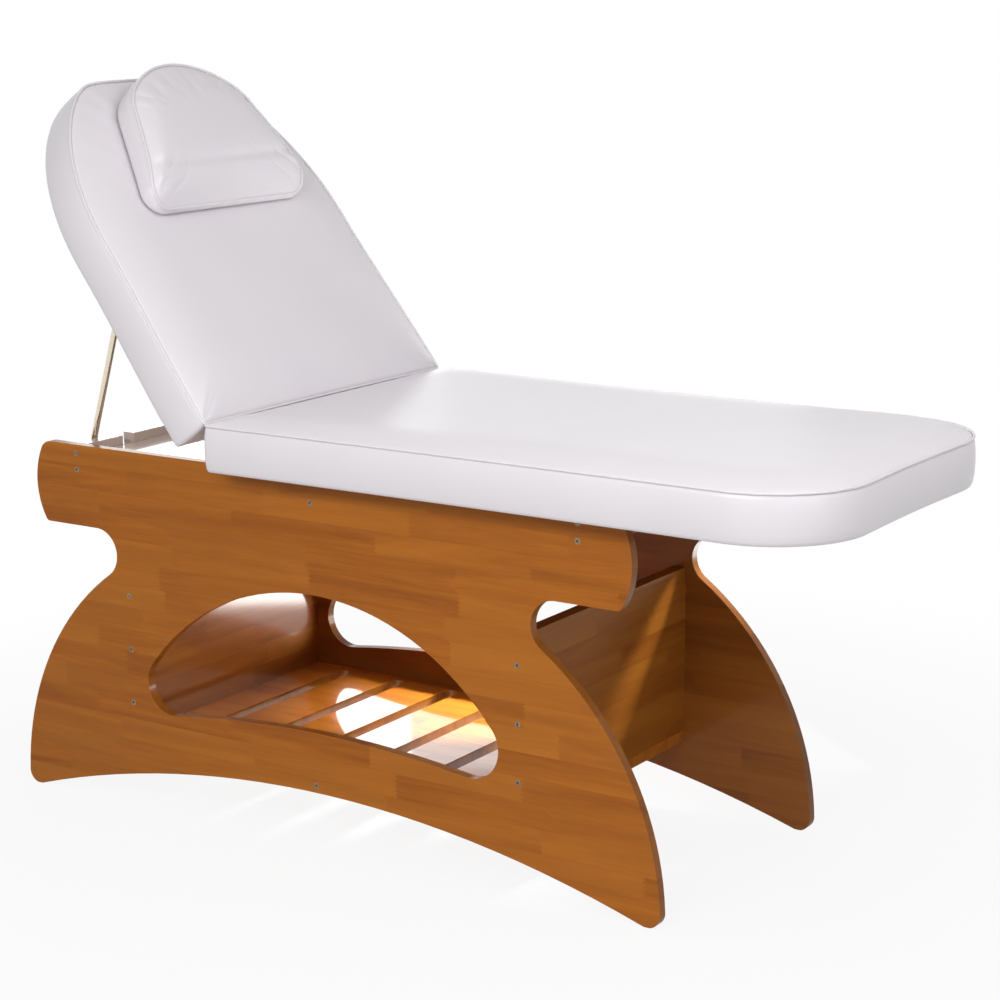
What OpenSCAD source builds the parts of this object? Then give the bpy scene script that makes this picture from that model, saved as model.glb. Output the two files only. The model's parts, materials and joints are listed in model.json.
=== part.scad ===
// Spa bed on an open wooden base. Two shaped side panels are tied together by cross boards and a
// slotted shelf. The seat cushion is fixed, and the backrest cushion is held up by a steel prop.
// X runs from the head to the foot, Y runs across and Z up from the floor.

/* [Cushions] */
// Width of the seat and backrest cushions
bed_w = 700; // [680:1:730]
// Length of the seat cushion
seat_l = 1156; // [1080:1:1250]
// Length of the backrest cushion
back_l = 699; // [650:1:760]
// Height of a cushion's side, from the underside of its board to the piped seam
cushion_t = 80; // [66:1:100]
// Height of the crown above the piped seam
crown_h = 18; // [8:1:24]
// Distance from the seam over which the crown rises
crown_w = 90; // [50:1:110]
// Depth by which a long side pulls in between its corners
side_draw = 4; // [2:0.5:8]
// Radius of the seat's two corners at the foot
foot_corner_r = 165; // [130:1:200]
// Radius of the cushion corners beside the hinge
hinge_corner_r = 8; // [6:1:14]
// Straight part of the backrest, below its rounded head end
back_side_l = 367; // [330:1:400]
// Length of the half ellipse that the head end is cut from
head_l = 375; // [340:1:400]
// Amount by which each side of the backrest tapers over its straight part
back_taper = 13; // [0:1:24]
// Thickness of the plywood in each cushion
ply_t = 15; // [12:1:18]
// Thickness of the lining under each cushion
lining_t = 1; // [0.8:0.1:2]
// Thickness of cover and wadding round the foam
cover_t = 10; // [8:0.5:14]

/* [Raised backrest] */
// Angle of the raised backrest
tilt = 53; // [46:1:56]
// Gap between the two cushions when the bed is flat
hinge_gap = 12; // [11:0.5:16]
// Depth of the hinge axis below the piped seam
hinge_drop = 8; // [7:0.5:12]
// Place of the hinge axis, headward from the middle of the base
hinge_back = 171; // [140:1:190]
// Clearance under the backrest where it lies on the rails
rest_gap = 0.5; // [0.3:0.1:1]

/* [Side panels] */
// Height of the side panels
rail_top = 667; // [655:1:700]
// Thickness of the side panels
board_t = 18; // [16:1:22]
// Width of the base over both side panels
base_w = 554; // [540:1:580]
// Length of the rail along the top of a side panel
rail_l = 1268; // [1240:1:1320]
// Height of that rail
rail_h = 150; // [140:1:165]
// Radius of the bowed ends of the rail
rail_end_r = 140; // [120:1:170]
// Radius of the rail's top corners
rail_top_r = 25; // [15:1:35]
// Radius of the rail's lower corners
rail_low_r = 10; // [6:1:14]
// Reach of each leg from the middle of the base
leg_reach = 689; // [670:1:710]
// Radius of the bowed outer edge of a leg
leg_r = 521; // [500:1:540]
// Height of the centre of that bow
leg_bow_z = 5; // [0:1:12]
// Radius of the foot of a leg
foot_r = 24; // [20:1:32]
// Depth of the flat on which a foot stands
foot_flat = 0.6; // [0.4:0.1:1.2]
// Radius of the notch between rail and leg
neck_r = 46; // [38:1:52]
// Height of the arch between the legs
arch_h = 103; // [80:1:104]
// Top of the oval opening
oval_top = 459; // [440:1:475]
// Radius of the top of the oval opening
oval_r = 469; // [450:1:500]
// Height of the wood between arch and oval
oval_sill = 109; // [96:1:116]
// Radius of the oval's rounded ends
oval_end_r = 56; // [46:1:66]

/* [Cross boards] */
// Thickness of the cross panels and cross rails
cross_t = 25; // [22:1:28]
// Distance of the cross panels from the reach of the legs
panel_in = 270; // [264:1:290]
// Height of a cross panel
panel_h = 306; // [290:1:320]
// Spacing of the screws in a cross panel
panel_screw_pitch = 100; // [80:1:115]
// Place of the top cross rails, from the middle of the base
rail_x = 534; // [520:1:545]
// Height of a top cross rail
cross_rail_h = 62; // [56:1:66]
// Spacing of the screws in a top cross rail
rail_screw_pitch = 30; // [26:1:34]
// Height of the middle rail
middle_rail_h = 38; // [30:1:44]
// Depth of the platform's underside below the top of the side panels
platform_drop = 27; // [26:1:34]
// Thickness of the platform
platform_t = 10; // [8:1:11]
// Gap between the platform and the side panels
platform_gap = 6; // [5:1:10]
// Width of the cleats under the platform
cleat = 20; // [16:1:24]

/* [Shelf] */
// Height of the shelf's underside
shelf_z = 126; // [122:1:132]
// Thickness of the shelf
shelf_t = 20; // [16:1:24]
// Number of slots in the shelf
slot_count = 6; // [4:1:6]
// Distance from a cross panel to the nearest slot
slot_in = 74; // [64:1:100]
// Width of a slot
slot_w = 30; // [20:1:36]
// Wood left between a slot's end and the side panel
slot_margin = 20; // [14:1:40]
// Width of the bearer under the shelf
bearer_w = 40; // [30:1:50]
// Height of the bearer under the shelf
bearer_h = 20; // [16:1:22]

/* [Prop] */
// Radius of the prop's round steel bar
prop_r = 6; // [5:0.5:6]
// Distance from a side panel to the middle of the prop's leg
prop_side = 53; // [49:1:60]
// Bend radius at the prop's corners
prop_bend_r = 30; // [20:1:40]
// Lean of the raised prop towards the foot
prop_lean = 17; // [12:1:18]
// Reach of the prop's axis from the head cross rail
prop_stand = 11.5; // [11:0.5:14]
// Depth of the prop's axis below the top of the side panels
prop_drop = 12; // [11:0.5:16]
// Height of the notched racks under the backrest
rack_h = 14; // [13:0.5:15]
// Width of a rack
rack_w = 24; // [18:1:28]
// Spacing of the racks, centre to centre
rack_span = 300; // [280:1:320]
// Number of notches in a rack
notch_count = 5; // [3:1:5]
// Spacing of the notches
notch_pitch = 55; // [50:1:60]
// Clearance round the prop in a notch
notch_gap = 0.3; // [0.3:0.1:0.6]

/* [Pillow] */
// Distance from the backrest's lower edge to the pillow's lower edge
pillow_s = 398; // [370:1:410]
// Length of the pillow
pillow_l = 282; // [260:1:290]
// Width of the pillow across its lower corners
pillow_w = 424; // [390:1:440]
// Width of the pillow across its upper corners
pillow_top_w = 332; // [300:1:350]
// Height of the pillow's side band at its top edge
pillow_t = 50; // [40:1:56]
// Height of the band at the lower edge
pillow_low_t = 14; // [12:1:24]
// Height of the pillow's crown
pillow_crown = 16; // [8:1:22]
// Radius of the pillow's lower corners
pillow_low_r = 35; // [25:1:45]
// Radius of the pillow's upper corners
pillow_top_r = 93; // [80:1:100]
// Rise of the pillow's top edge above its upper corners
pillow_arch = 26; // [15:1:35]
// Thickness of each hook or loop strip
strip_t = 1.2; // [0.8:0.1:1.6]
// Length of a hook or loop strip
strip_l = 160; // [120:1:170]
// Width of a hook or loop strip
strip_w = 25; // [20:1:30]

/* [Hidden] */
$fn = 64;

// Clearances and the overrun of every cut. A hair's overlap makes touching arcs cross cleanly
over = 1;
hair = 0.01;
air = 0.4;
screw_gap = 0.1;
pin_gap = 0.05;
soft_gap = 0.3;

// Confirmat screws in the panels, wood screws elsewhere
panel_screw_r = 3.25;
panel_screw_l = 50;
panel_head_r = 5.5;
panel_head_t = 4;
socket_r = 2.4;
socket_depth = 2.5;
wood_screw_r = 2;
wood_head_r = 4;
wood_head_t = 2;
driver_r = 1.6;
driver_depth = 1.2;

// Hinge leaves and brackets of folded steel
leaf_t = 2.5;
leaf_l = 58;
leaf_w = 60;
leaf_side = 29;
barrel_r = 4.5;
hinge_pin_r = 2.5;
pin_head_r = 4;
pin_head_t = 2;
barrel_gap = 0.5;
bracket_t = 3;
bracket_w = 30;
bracket_leg = 40;
bracket_drop = 24;
bracket_x = [-60, 420];

// Prop brackets on the head cross rail
ear_t = 4;
ear_r = 10;
foot_plate_w = 28;
foot_plate_h = 40;
prop_pin_l = 30;
prop_pin_bend_r = 12;

// Colours
wood = "#b5651d";
wood_dark = "#8a4513";
vinyl = "#ece9ec";
foam = "#e8dcae";
cloth = "#d8d8d8";
steel = "#b8b4ac";
ply = "#d9b98a";

// Heights of the boards
rail_low = rail_top - rail_h;
shelf_top = shelf_z + shelf_t;
panel_mid = shelf_top + panel_h / 2;
cross_rail_z = rail_top - cross_rail_h / 2;
platform_z = rail_top - platform_drop;
middle_rail_z = platform_z - middle_rail_h / 2;
inner_w = base_w - 2 * board_t;
panel_x = leg_reach - panel_in;
prop_w = inner_w - 2 * prop_side;
leaf_y = inner_w / 2 - leaf_side - leaf_w / 2;

// Places of the cushions and of the hinge axis
seat_x = hinge_gap / 2 - hinge_back;
seat_end = seat_x + seat_l;
back_x = -hinge_back - hinge_gap / 2;
seat_z = rail_top + lining_t;
seat_seam = seat_z + cushion_t;
back_z = seat_z + rest_gap;
back_seam = back_z + cushion_t;
pivot = [-hinge_back, 0, seat_seam - hinge_drop];

// Foot of a leg: a circle that touches the leg's bow, and stands on a small flat
leg_c = [leg_reach - leg_r, leg_bow_z];
foot_z = foot_r - foot_flat;
foot_c = [leg_c[0] + sqrt(pow(leg_r - foot_r, 2) - pow(foot_z - leg_bow_z, 2)), foot_z];
leg_tip = foot_c[0] + foot_r;

// Arch that touches both feet, and the oval above it with a sill of even height
arch_rise = arch_h - foot_z;
arch_r = (pow(arch_rise, 2) + pow(foot_c[0], 2) - pow(foot_r, 2)) / (2 * (foot_r + arch_rise));
arch_c = [0, arch_h - arch_r];
sill_r = arch_r + oval_sill;
oval_c = [0, oval_top - oval_r];
oval_in = oval_r - oval_end_r;
sill_out = sill_r + oval_end_r;
oval_lift = oval_c[1] - arch_c[1];
oval_up = (pow(sill_out, 2) - pow(oval_in, 2) - pow(oval_lift, 2)) / (2 * oval_lift);
oval_end_c = [sqrt(pow(oval_in, 2) - pow(oval_up, 2)), oval_c[1] + oval_up];

// Ends of the rail, and the notch that touches the rail and the leg's bow
rail_end_c = [rail_l / 2 - rail_end_r, rail_low + rail_h / 2];
rail_top_c = corner_on_end(rail_top - rail_top_r, rail_top_r);
rail_low_c = corner_on_end(rail_low + rail_low_r, rail_low_r);
neck_z = rail_low - neck_r;
neck_c = [leg_c[0] + sqrt(pow(leg_r + neck_r, 2) - pow(neck_z - leg_c[1], 2)), neck_z];
neck_in = neck_c + 2 * neck_r * toward(neck_c, leg_c);
function corner_on_end(z, r) =
    [rail_end_c[0] + sqrt(pow(rail_end_r - r, 2) - pow(z - rail_end_c[1], 2)), z];

// The prop's length and its notch follow from its lean, the tilt and the racks
notch_z = back_z - lining_t - rack_h;
notch_r = prop_r + notch_gap;
notch_depth = 1.5 * prop_r;
prop_axis = [-rail_x - cross_t / 2 - prop_stand, 0, rail_top - prop_drop];
bar_n = pivot[2] - (notch_z + notch_depth - notch_r);
prop_run = pivot[0] - bar_n * sin(tilt) - prop_axis[0];
prop_rise = pivot[2] - bar_n * cos(tilt) - prop_axis[2];
prop_l = (prop_run * sin(tilt) + prop_rise * cos(tilt)) / cos(tilt - prop_lean);
notch_s = (prop_run * cos(prop_lean) - prop_rise * sin(prop_lean)) / cos(tilt - prop_lean);
relief_tilt = 18;
relief_l = 4 * prop_r;
rack_end = 30;

// The model's origin lies under the middle of its length
origin_x = (seat_end - leg_tip) / 2;

// Unit vector from a to b
function toward(a, b) = (b - a) / norm(b - a);

// Points of an arc
function arc_points(c, r, a0, a1, n) =
    [for (i = [0:n]) c + r * [cos(a0 + (a1 - a0) * i / n), sin(a0 + (a1 - a0) * i / n)]];

// Points between two corners, bowed inwards: a and b and n themselves are left out
function bowed_points(a, b, bow, n) =
    [for (i = [1:n]) a + (b - a) * i / (n + 1) + bow * sin(180 * i / (n + 1)) * [a[1] - b[1], b[0] - a[0]]
        / norm(b - a)];

// Depth by which the ends beside the hinge pull in
end_draw = 1;

// Radius of a small corner, which softens again where an outline is drawn in
corner_ease_share = 0.4;
function eased(r, inset) = max(r - inset, corner_ease_share * inset);

// Outline of the seat, drawn in by an inset, anticlockwise from above
function seat_outline(inset) =
    let (r = eased(hinge_corner_r, inset), f = foot_corner_r - inset, w = bed_w / 2 - inset)
    let (x0 = seat_x + inset, x1 = seat_end - inset)
    let (rear_r = arc_points([x0 + r, r - w], r, 180, 270, 4))
    let (foot_r = arc_points([x1 - f, f - w], f, 270, 360, 10))
    let (foot_l = arc_points([x1 - f, w - f], f, 0, 90, 10))
    let (rear_l = arc_points([x0 + r, w - r], r, 90, 180, 4))
    concat(rear_r, bowed_points(rear_r[4], foot_r[0], side_draw, 5),
        foot_r, bowed_points(foot_r[10], foot_l[0], side_draw, 3),
        foot_l, bowed_points(foot_l[10], rear_l[0], side_draw, 5),
        rear_l, bowed_points(rear_l[4], rear_r[0], end_draw, 3));

// Half width of the backrest's straight part at a distance from its lower edge
function back_half_w(s, inset) =
    bed_w / 2 - inset - back_taper * (1 - cos(180 * s / back_side_l)) / 2;

// Place at which the head end's ellipse is cut off, with softened corners
head_soft = 9;
function head_cut(x, end) = x - head_soft * ln(1 + exp((x - end) / head_soft));

// Outline of the backrest lying flat, anticlockwise from above, with an elliptical head end
function back_outline(inset) =
    let (r = eased(hinge_corner_r, inset), w = bed_w / 2 - inset, x0 = back_x - inset)
    let (a = head_l - inset, b = back_half_w(back_side_l, inset), end = back_l - back_side_l - inset)
    let (head = [for (i = [0:36])
        [back_x - back_side_l - head_cut(a * sin(180 * i / 36), end), b * cos(180 * i / 36)]])
    let (side = [for (i = [1:5]) let (s = back_side_l * (1 - i / 6)) [back_x - s, back_half_w(s, inset)]])
    let (low_r = arc_points([x0 - r, r - w], r, 270, 360, 4))
    let (low_l = arc_points([x0 - r, w - r], r, 0, 90, 4))
    concat(head, [for (p = side) [p[0], -p[1]]], low_r, bowed_points(low_r[4], low_l[0], end_draw, 3),
        low_l,
        [for (i = [4:-1:0]) side[i]]);

// Outline of the pillow on the flat backrest. Its straight sides touch the corner circles, and
// the arc of its top edge touches the upper ones
function pillow_outline(inset) =
    let (x0 = back_x - pillow_s - inset, x1 = back_x - pillow_s - pillow_l + inset)
    let (r0 = eased(pillow_low_r, inset), c0 = [x0 - r0, pillow_w / 2 - inset - r0])
    let (r1 = pillow_top_r - inset, c1 = [x1 + pillow_arch + r1, pillow_top_w / 2 - inset - r1])
    let (top_r = (pow(pillow_arch + r1, 2) + pow(c1[1], 2) - pow(r1, 2)) / (2 * pillow_arch))
    let (side_a = 360 + atan2(c1[1] - c0[1], c1[0] - c0[0]) - acos((r0 - r1) / norm(c1 - c0)))
    let (top_a = 180 - atan2(c1[1], top_r - pillow_arch - r1))
    let (half = concat(arc_points(c0, r0, 0, side_a, 7), arc_points(c1, r1, side_a, top_a, 5),
        [for (i = [1:3]) let (a = top_a + (180 - top_a) * i / 4) [x1 + top_r * (1 + cos(a)), top_r * sin(a)]]))
    concat(half, [[x1, 0]], [for (i = [len(half) - 1:-1:0]) [half[i][0], -half[i][1]]]);

// A level ring of an outline
function ring(outline, z) = [for (p = outline) [p[0], p[1], z]];

// Faces that close a ring: one level face, or strips across a ring whose height varies along X
function level_cap(n) = [[for (j = [0:n - 1]) j]];
function strip_cap(n) = let (m = (n - 1) / 2)
    concat([for (i = [0:m - 2]) [i, i + 1, 2 * m - i - 1, 2 * m - i]], [[m - 1, m, m + 1]]);

// A closed skin over rings that all have the same number of points
module skin(rings, cap) {
    n = len(rings[0]);
    last = len(rings) - 1;
    walls = [for (i = [0:last - 1]) for (j = [0:n - 1]) let (k = (j + 1) % n)
        each [[i * n + j, i * n + n + j, i * n + n + k], [i * n + j, i * n + n + k, i * n + k]]];
    lid = [for (f = cap) [for (k = [len(f) - 1:-1:0]) last * n + f[k]]];
    polyhedron([for (r = rings) each r], concat(cap, walls, lid));
}

// Shares of the side band's height and of the crown at which a cushion's rings lie
band_low_share = 0.2;
band_high_share = 0.75;
tuck = 4;
seam_in = 2;
crown_steps_share = [[0.05, 0.3], [0.16, 0.6], [0.34, 0.82], [0.62, 0.95], [1, 1]];

// Sets a child at both sides of the bed
module both_sides() {
    for (side = [0, 1])
        mirror([0, side, 0]) children();
}

// Turns a flat-lying child of the backrest up to its raised place
module raised() {
    translate(pivot) rotate([0, tilt, 0]) translate(-pivot) children();
}

// Stands a child drawn in x and z upright, a given thickness towards -Y from a given y
module upright(y, t) {
    translate([0, y, 0]) rotate([90, 0, 0]) linear_extrude(t) children();
}

// A box centred across the bed
module cross_block(x0, x1, w, z0, z1) {
    translate([x0, -w / 2, z0]) cube([x1 - x0, w, z1 - z0]);
}

// A point of the side panel's outline at the foot end (1), or its twin at the head end (-1)
function at_end(p, end) = [end * p[0], p[1]];

// What lies outside a corner circle between two directions, at both ends
corner_cut_share = 5;
module corner_cuts(c, r, u, v) {
    reach = corner_cut_share * r;
    for (end = [-1, 1])
        difference() {
            polygon([for (p = [c, c + reach * u, c + reach * (u + v), c + reach * v]) at_end(p, end)]);
            translate(at_end(c, end)) circle(r + hair);
        }
}

// The rail of a side panel, with bowed ends and rounded corners
module rail_form() {
    difference() {
        intersection() {
            union() {
                for (end = [-1, 1])
                    translate(at_end(rail_end_c, end)) circle(rail_end_r, $fn = 128);
                translate([-rail_end_c[0], rail_low - over]) square([2 * rail_end_c[0], rail_h + 2 * over]);
            }
            translate([-rail_l, rail_low]) square([2 * rail_l, rail_h]);
        }
        corner_cuts(rail_top_c, rail_top_r, toward(rail_end_c, rail_top_c), [0, 1]);
        corner_cuts(rail_low_c, rail_low_r, toward(rail_end_c, rail_low_c), [0, -1]);
    }
}

// Both legs with the wood between them, below the rail
module leg_form() {
    difference() {
        intersection() {
            union() {
                for (end = [-1, 1])
                    translate(at_end(leg_c, end)) circle(leg_r, $fn = 256);
                translate([-leg_c[0], -over]) square([2 * leg_c[0], rail_low + 3 * over]);
            }
            translate([-leg_reach - over, 0]) square([2 * (leg_reach + over), rail_low + over]);
        }
        translate(arch_c) circle(arch_r, $fn = 512);
        corner_cuts(foot_c, foot_r, toward(leg_c, foot_c), toward(foot_c, arch_c));
    }
}

// The notches' round roots between rail and legs
module neck_form() {
    top = rail_low + over;
    corners = [[neck_c[0], top], [leg_c[0], top], neck_in, neck_c];
    for (end = [-1, 1])
        difference() {
            polygon([for (i = [0:3]) at_end(corners[end > 0 ? i : 3 - i], end)]);
            translate(at_end(neck_c, end)) circle(neck_r + hair);
        }
}

// The oval opening
module oval_form() {
    difference() {
        translate(oval_c) circle(oval_r, $fn = 256);
        translate(arch_c) circle(sill_r, $fn = 512);
        corner_cuts(oval_end_c, oval_end_r, toward(oval_c, oval_end_c), toward(oval_end_c, arch_c));
    }
}

// Places of the screws in a side panel, as x and z
panel_screw_places = concat(
    [for (end = [-1, 1]) for (i = [-1, 1]) [end * rail_x, cross_rail_z + i * rail_screw_pitch / 2]],
    [for (end = [-1, 1]) for (i = [-1:1]) [end * panel_x, panel_mid + i * panel_screw_pitch]],
    [[0, middle_rail_z], [0, shelf_z - bearer_h / 2]]);

// Sets a child at each panel screw of one side, pointing inwards along +Y
module at_panel_screws() {
    for (p = panel_screw_places)
        translate([p[0], -base_w / 2, p[1]]) rotate([-90, 0, 0]) children();
}

// Holes for the panel screws of both sides
module panel_screw_holes() {
    both_sides() at_panel_screws() {
        translate([0, 0, -over]) cylinder(r = panel_head_r + screw_gap, h = panel_head_t + over);
        cylinder(r = panel_screw_r + screw_gap, h = panel_screw_l + over);
    }
}

// A wood screw: its head's underside lies at zero, its shank points up
module wood_screw(length) {
    difference() {
        union() {
            translate([0, 0, -wood_head_t]) cylinder(r = wood_head_r, h = wood_head_t);
            cylinder(r = wood_screw_r, h = length);
        }
        translate([0, 0, -wood_head_t - over]) cylinder(r = driver_r, h = driver_depth + over, $fn = 4);
    }
}

// The hole for a wood screw
module wood_screw_hole(length) {
    translate([0, 0, -over]) cylinder(r = wood_screw_r + screw_gap, h = length + 2 * over);
}

module side_panel() {
    difference() {
        upright(inner_w / -2, board_t) difference() {
            union() {
                rail_form();
                leg_form();
                neck_form();
            }
            oval_form();
        }
        panel_screw_holes();
        at_bracket_panel_screws() wood_screw_hole(bracket_screw_l);
    }
}

module side_panel_right() {
    color(wood) side_panel();
}

module side_panel_left() {
    color(wood) mirror([0, 1, 0]) side_panel();
}

// A cross board between the side panels, with its screw holes
module cross_board(x, t, z0, z1) {
    difference() {
        cross_block(x - t / 2, x + t / 2, inner_w, z0, z1);
        panel_screw_holes();
    }
}

// A cross panel, screwed on the shelf
module cross_panel(x) {
    difference() {
        cross_board(x, cross_t, shelf_top, shelf_top + panel_h);
        at_shelf_screws() wood_screw_hole(shelf_screw_l);
    }
}

module cross_panel_head() {
    color(wood_dark) cross_panel(-panel_x);
}

module cross_panel_foot() {
    color(wood_dark) cross_panel(panel_x);
}

module top_rail_foot() {
    color(wood_dark) cross_board(rail_x, cross_t, rail_top - cross_rail_h, rail_top);
}

module top_rail_middle() {
    color(wood_dark) cross_board(0, cross_t, platform_z - middle_rail_h, platform_z);
}

module shelf_bearer() {
    color(wood_dark) cross_board(0, bearer_w, shelf_z - bearer_h, shelf_z);
}

// The head rail has a relief for each rack, and holes for the prop's brackets
rack_relief = 3;
module top_rail_head() {
    relief_z = back_z - lining_t - rack_h - rack_relief;
    color(wood_dark) difference() {
        cross_board(-rail_x, cross_t, rail_top - cross_rail_h, rail_top);
        both_sides() translate([-rail_x - cross_t, (rack_span - rack_w) / 2 - rack_relief, relief_z])
            cube([2 * cross_t, rack_w + 2 * rack_relief, cross_rail_h]);
        at_prop_bracket_screws() wood_screw_hole(prop_screw_l);
    }
}

// Sets a child at each screw through the shelf, pointing up into the cross panels
shelf_screw_l = 45;
shelf_screw_share = 0.33;
module at_shelf_screws() {
    both_sides() for (x = [-panel_x, panel_x])
        translate([x, shelf_screw_share * inner_w, shelf_z]) children();
}

// Sets a child at each screw that holds the platform, pointing up through the cleats
platform_screw_l = 27;
module at_platform_screws() {
    both_sides() for (end = [-1, 1])
        translate([end * (rail_x - cross_t / 2 - cleat / 2), shelf_screw_share * inner_w, platform_z - cleat])
            children();
}

module shelf_screws() {
    color(steel) at_shelf_screws() wood_screw(shelf_screw_l);
}

module platform_screws() {
    color(steel) at_platform_screws() wood_screw(platform_screw_l);
}

module slotted_shelf() {
    slot_l = inner_w - 2 * slot_margin - slot_w;
    half = panel_x + cross_t / 2;
    slot_pitch = (2 * panel_x - cross_t - 2 * slot_in - slot_w) / (slot_count - 1);
    color(wood) difference() {
        cross_block(-half, half, inner_w, shelf_z, shelf_top);
        at_shelf_screws() wood_screw_hole(shelf_screw_l);
        for (i = [0:slot_count - 1])
            translate([(i - (slot_count - 1) / 2) * slot_pitch, 0, shelf_z - over]) {
                for (end = [-1, 1])
                    translate([0, end * slot_l / 2, 0]) cylinder(r = slot_w / 2, h = shelf_t + 2 * over);
                translate([-slot_w / 2, -slot_l / 2, 0]) cube([slot_w, slot_l, shelf_t + 2 * over]);
            }
    }
}

module platform_board() {
    half = rail_x - cross_t / 2 - over;
    color(ply) difference() {
        cross_block(-half, half, inner_w - 2 * platform_gap, platform_z, platform_z + platform_t);
        at_platform_screws() wood_screw_hole(platform_screw_l);
    }
}

module platform_cleats() {
    inside = rail_x - cross_t / 2;
    color(wood_dark) difference() {
        for (end = [0, 1])
            mirror([end, 0, 0])
                cross_block(inside - cleat, inside, inner_w - 2 * platform_gap, platform_z - cleat, platform_z);
        at_platform_screws() wood_screw_hole(platform_screw_l);
    }
}

module panel_screws() {
    color(steel) both_sides() at_panel_screws() difference() {
        union() {
            cylinder(r = panel_head_r, h = panel_head_t);
            cylinder(r = panel_screw_r, h = panel_screw_l);
        }
        translate([0, 0, -over]) cylinder(r = socket_r, h = socket_depth + over, $fn = 6);
    }
}

// Brackets between the side panels and the seat board
bracket_screw_l = 16;
bracket_screw_drop = 12;
bracket_screw_in = 28;

// Sets a child at each bracket's screw into the side panel, pointing outwards
module at_bracket_panel_screws() {
    both_sides() for (x = bracket_x)
        translate([x, bracket_t - inner_w / 2, rail_top - bracket_screw_drop]) rotate([90, 0, 0]) children();
}

// Sets a child at each bracket's screw into the seat board, pointing up
module at_bracket_seat_screws() {
    both_sides() for (x = bracket_x)
        translate([x, bracket_screw_in - inner_w / 2, rail_top - bracket_t]) children();
}

module seat_brackets() {
    color(steel) difference() {
        both_sides() for (x = bracket_x)
            translate([x - bracket_w / 2, -inner_w / 2, 0]) {
                translate([0, 0, rail_top - bracket_t]) cube([bracket_w, bracket_leg, bracket_t]);
                translate([0, 0, rail_top - bracket_drop]) cube([bracket_w, bracket_t, bracket_drop]);
            }
        at_bracket_panel_screws() wood_screw_hole(bracket_screw_l);
        at_bracket_seat_screws() wood_screw_hole(bracket_screw_l);
    }
}

module seat_bracket_screws() {
    color(steel) {
        at_bracket_panel_screws() wood_screw(bracket_screw_l);
        at_bracket_seat_screws() wood_screw(bracket_screw_l);
    }
}

// Wooden and foam cores follow the cushion's outline
module core(outline, z0, z1) {
    translate([0, 0, z0]) linear_extrude(z1 - z0) polygon(outline);
}

// Foam stops this far below the piped seam
foam_drop = 4;

// The rings of a cushion's cover: its hollow, the fold under the board, its side and its crown
fold_in = 28;
function cover_rings(inner, fold, low, outer, seam, crown, z, top) = concat(
    [ring(inner, top - foam_drop + air), ring(inner, z), ring(fold, z), ring(fold, z - lining_t),
        ring(low, z - lining_t), ring(outer, z + band_low_share * (top - z)),
        ring(outer, z + band_high_share * (top - z)), ring(seam, top)],
    [for (i = [0:len(crown_steps_share) - 1]) ring(crown[i], top + crown_h * crown_steps_share[i][1])]);

module seat_board() {
    color(ply) difference() {
        core(seat_outline(cover_t + air), seat_z, seat_z + ply_t);
        at_bracket_seat_screws() wood_screw_hole(bracket_screw_l);
        at_hinge_screws() wood_screw_hole(hinge_screw_l);
    }
}

module seat_foam() {
    color(foam) core(seat_outline(cover_t + air), seat_z + ply_t, seat_seam - foam_drop);
}

module seat_cushion() {
    color(vinyl) skin(cover_rings(seat_outline(cover_t), seat_outline(fold_in), seat_outline(tuck),
        seat_outline(0), seat_outline(seam_in),
        [for (c = crown_steps_share) seat_outline(seam_in + crown_w * c[0])], seat_z, seat_seam),
        level_cap(len(seat_outline(0))));
}

// The lining lies inside the cover's fold, and lets the screws through
module seat_lining() {
    color(cloth) difference() {
        core(seat_outline(fold_in + air), rail_top, seat_z);
        at_bracket_seat_screws() wood_screw_hole(bracket_screw_l);
        at_hinge_screws() wood_screw_hole(hinge_screw_l);
    }
}

// Cranked hinges: each leaf is screwed under its board and stands up between the cushions
hinge_screw_l = 14;
hinge_screw_in = 38;
hinge_screw_span = 40;
hinge_screw_shift = 12;
hinge_y = [-leaf_y, 0, leaf_y];
leaf_top = rail_top;
leaf_face = hinge_gap / 2 - air;
knuckle_l = leaf_w / 3;

// Sets a child at each screw of the seat leaves, pointing up
module at_hinge_screws() {
    for (y = hinge_y) for (i = [-1:1])
        translate([pivot[0] + hinge_screw_in + (i == 0 ? hinge_screw_shift : 0), y + i * hinge_screw_span / 2,
            leaf_top - leaf_t]) children();
}

// The plate and the standing part of one leaf on the seat's side of the axis. Its plate may be
// lifted by the clearance under the backrest
module leaf_plate(lift) {
    translate([leaf_face - leaf_t, -leaf_w / 2, lift - leaf_t]) {
        cube([leaf_l, leaf_w, leaf_t]);
        cube([leaf_t, leaf_w, pivot[2] - leaf_top + leaf_t - lift]);
    }
}

// A stretch of barrel along Y, on the hinge axis
module barrel(y0, y1, r) {
    translate([0, y1, pivot[2] - leaf_top]) rotate([90, 0, 0]) cylinder(r = r, h = y1 - y0);
}

// Three leaves on the seat's side, each with a barrel at both ends
module seat_leaves() {
    for (y = hinge_y)
        translate([pivot[0], y, leaf_top]) difference() {
            union() {
                leaf_plate(0);
                for (end = [0, 1])
                    mirror([0, end, 0]) barrel(knuckle_l / 2, leaf_w / 2, barrel_r);
            }
            barrel(-leaf_w, leaf_w, hinge_pin_r + pin_gap);
            barrel(-knuckle_l / 2 - barrel_gap, knuckle_l / 2 + barrel_gap, barrel_r + over);
        }
}

module hinge_seat_leaves() {
    color(steel) difference() {
        seat_leaves();
        at_hinge_screws() wood_screw_hole(hinge_screw_l);
    }
}

module hinge_seat_screws() {
    color(steel) at_hinge_screws() wood_screw(hinge_screw_l);
}

// Hinge pins, peened over at both ends
module hinge_pins() {
    color(steel) for (y = hinge_y)
        translate([pivot[0], y, leaf_top]) {
            barrel(-leaf_w / 2, leaf_w / 2, hinge_pin_r);
            for (end = [0, 1])
                mirror([0, end, 0]) barrel(leaf_w / 2, leaf_w / 2 + pin_head_t, pin_head_r);
        }
}

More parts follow.
